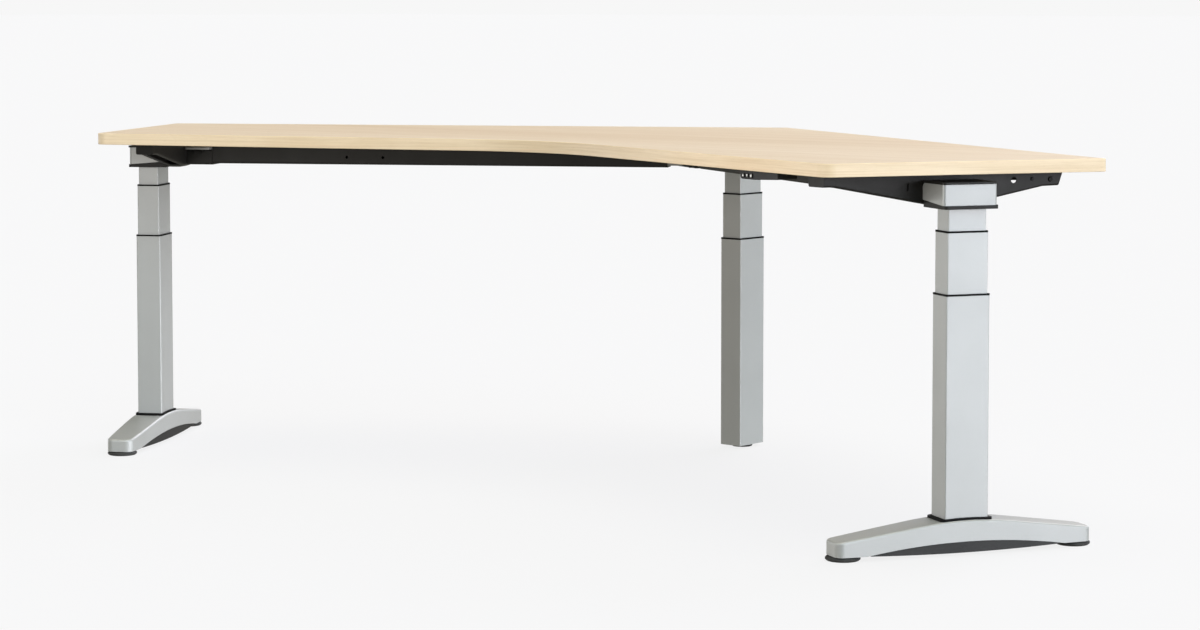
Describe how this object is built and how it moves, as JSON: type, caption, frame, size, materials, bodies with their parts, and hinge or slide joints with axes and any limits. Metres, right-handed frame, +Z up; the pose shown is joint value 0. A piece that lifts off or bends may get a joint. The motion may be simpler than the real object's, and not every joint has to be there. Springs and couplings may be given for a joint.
{
  "type": "height adjustable corner desk",
  "caption": "Corner standing desk with a wooden 120 degree worktop on telescopic motor columns, black steel frame and silver T feet.",
  "frame": {"origin": "on the floor under the middle of the bounding box, worktop at rest height", "axes": "+Z up, +Y from the seated side to the back corner, +X along the desk to the right as seen by the user"},
  "size_m": [2.598, 1.2454, 0.736],
  "materials": {
    "worktop_wood": "light maple decor, matt",
    "edge_wood": "light maple edge band, matt",
    "silver_paint": "silver powder coat, fine texture",
    "foot_paint": "die cast, silver powder coat",
    "black_plastic": "moulded, matt",
    "black_rubber": "matt",
    "black_paint": "black powder coat",
    "bare_steel": "bright zinc plated",
    "black_bolt": "black oxide",
    "grey_zinc": "zinc plated",
    "motor_case": "cast, plain"
  },
  "bodies": {
    "base": {"left_outer_tube": "silver_paint", "right_outer_tube": "silver_paint", "corner_outer_tube": "silver_paint", "outer_tube_collars": "black_plastic", "left_foot": "foot_paint", "right_foot": "foot_paint", "left_foot_cover": "black_plastic", "right_foot_cover": "black_plastic", "foot_gaskets": "black_rubber", "base_plates": "bare_steel", "base_bolts": "bare_steel", "corner_base_plug": "black_plastic", "nut_tubes": "bare_steel"},
    "top": {"worktop_board": "worktop_wood", "worktop_edge_band": "edge_wood", "head_base_plates": "black_paint", "head_top_plates": "black_paint", "gear_motors": "motor_case", "left_arm": "black_paint", "right_arm": "black_paint", "left_beam": "black_paint", "right_beam": "black_paint", "left_beam_joint": "black_paint", "right_beam_joint": "black_paint", "joint_plates": "grey_zinc", "corner_hub": "black_paint", "corner_spigots": "grey_zinc", "control_box": "black_plastic", "handset_case": "black_plastic", "worktop_screws": "bare_steel", "frame_bolts": "black_bolt", "left_inner_tube": "silver_paint", "left_head_cover": "silver_paint", "right_inner_tube": "silver_paint", "right_head_cover": "silver_paint", "corner_inner_tube": "silver_paint", "corner_head_cover": "silver_paint"},
    "left_stage": {"left_middle_tube": "silver_paint", "left_middle_collar": "black_plastic", "left_hollow_spindle": "bare_steel"},
    "right_stage": {"right_middle_tube": "silver_paint", "right_middle_collar": "black_plastic", "right_hollow_spindle": "bare_steel"},
    "corner_stage": {"corner_middle_tube": "silver_paint", "corner_middle_collar": "black_plastic", "corner_hollow_spindle": "bare_steel"},
    "left_screw": {"left_spindle": "bare_steel"},
    "right_screw": {"right_spindle": "bare_steel"},
    "corner_screw": {"corner_spindle": "bare_steel"},
    "left_front_foot_screw": {"left_front_glide": "black_rubber"},
    "left_rear_foot_screw": {"left_rear_glide": "black_rubber"},
    "right_front_foot_screw": {"right_front_glide": "black_rubber"},
    "right_rear_foot_screw": {"right_rear_glide": "black_rubber"},
    "corner_foot_screw": {"corner_glide": "black_rubber"},
    "up_key": {"button_up": "black_plastic"},
    "down_key": {"button_down": "black_plastic"},
    "store_key": {"button_store": "black_plastic"}
  },
  "joints": [
    {"name": "lift", "type": "slide", "parent": "base", "child": "top", "axis": [0, 0, 1], "range_m": [-0.08, 0.5]},
    {"name": "left_stage_lift", "type": "slide", "parent": "base", "child": "left_stage", "axis": [0, 0, 1], "range_m": [-0.0405, 0.2505]},
    {"name": "right_stage_lift", "type": "slide", "parent": "base", "child": "right_stage", "axis": [0, 0, 1], "range_m": [-0.0405, 0.2505]},
    {"name": "corner_stage_lift", "type": "slide", "parent": "base", "child": "corner_stage", "axis": [0, 0, 1], "range_m": [-0.0405, 0.2505]},
    {"name": "left_screw_turn", "type": "hinge", "parent": "top", "child": "left_screw", "pos_m": [-1.12636, -0.35434, 0.4], "axis": [0, 0, 1], "range_deg": [-1450, 9010]},
    {"name": "right_screw_turn", "type": "hinge", "parent": "top", "child": "right_screw", "pos_m": [1.12636, -0.35434, 0.4], "axis": [0, 0, 1], "range_deg": [-1450, 9010]},
    {"name": "corner_screw_turn", "type": "hinge", "parent": "top", "child": "corner_screw", "pos_m": [0, 0.45125, 0.4], "axis": [0, 0, 1], "range_deg": [-1450, 9010]},
    {"name": "left_front_level", "type": "slide", "parent": "base", "child": "left_front_foot_screw", "axis": [0, 0, -1], "range_m": [0, 0.012]},
    {"name": "left_rear_level", "type": "slide", "parent": "base", "child": "left_rear_foot_screw", "axis": [0, 0, -1], "range_m": [0, 0.012]},
    {"name": "right_front_level", "type": "slide", "parent": "base", "child": "right_front_foot_screw", "axis": [0, 0, -1], "range_m": [0, 0.012]},
    {"name": "right_rear_level", "type": "slide", "parent": "base", "child": "right_rear_foot_screw", "axis": [0, 0, -1], "range_m": [0, 0.012]},
    {"name": "corner_level", "type": "slide", "parent": "base", "child": "corner_foot_screw", "axis": [0, 0, -1], "range_m": [0, 0.012]},
    {"name": "up_press", "type": "slide", "parent": "top", "child": "up_key", "axis": [0.3623, 0.9321, 0], "range_m": [0, 0.0015], "stiffness_N_per_m": 300, "springref_m": -0.001},
    {"name": "down_press", "type": "slide", "parent": "top", "child": "down_key", "axis": [0.3623, 0.9321, 0], "range_m": [0, 0.0015], "stiffness_N_per_m": 300, "springref_m": -0.001},
    {"name": "store_press", "type": "slide", "parent": "top", "child": "store_key", "axis": [0.3623, 0.9321, 0], "range_m": [0, 0.0015], "stiffness_N_per_m": 300, "springref_m": -0.001}
  ],
  "couplings": [
    {"joint": "left_stage_lift", "follows": "lift", "ratio": 0.5},
    {"joint": "right_stage_lift", "follows": "lift", "ratio": 0.5},
    {"joint": "corner_stage_lift", "follows": "lift", "ratio": 0.5},
    {"joint": "left_screw_turn", "follows": "lift", "rad_per_m": 314.16},
    {"joint": "right_screw_turn", "follows": "lift", "rad_per_m": 314.16},
    {"joint": "corner_screw_turn", "follows": "lift", "rad_per_m": 314.16}
  ]
}
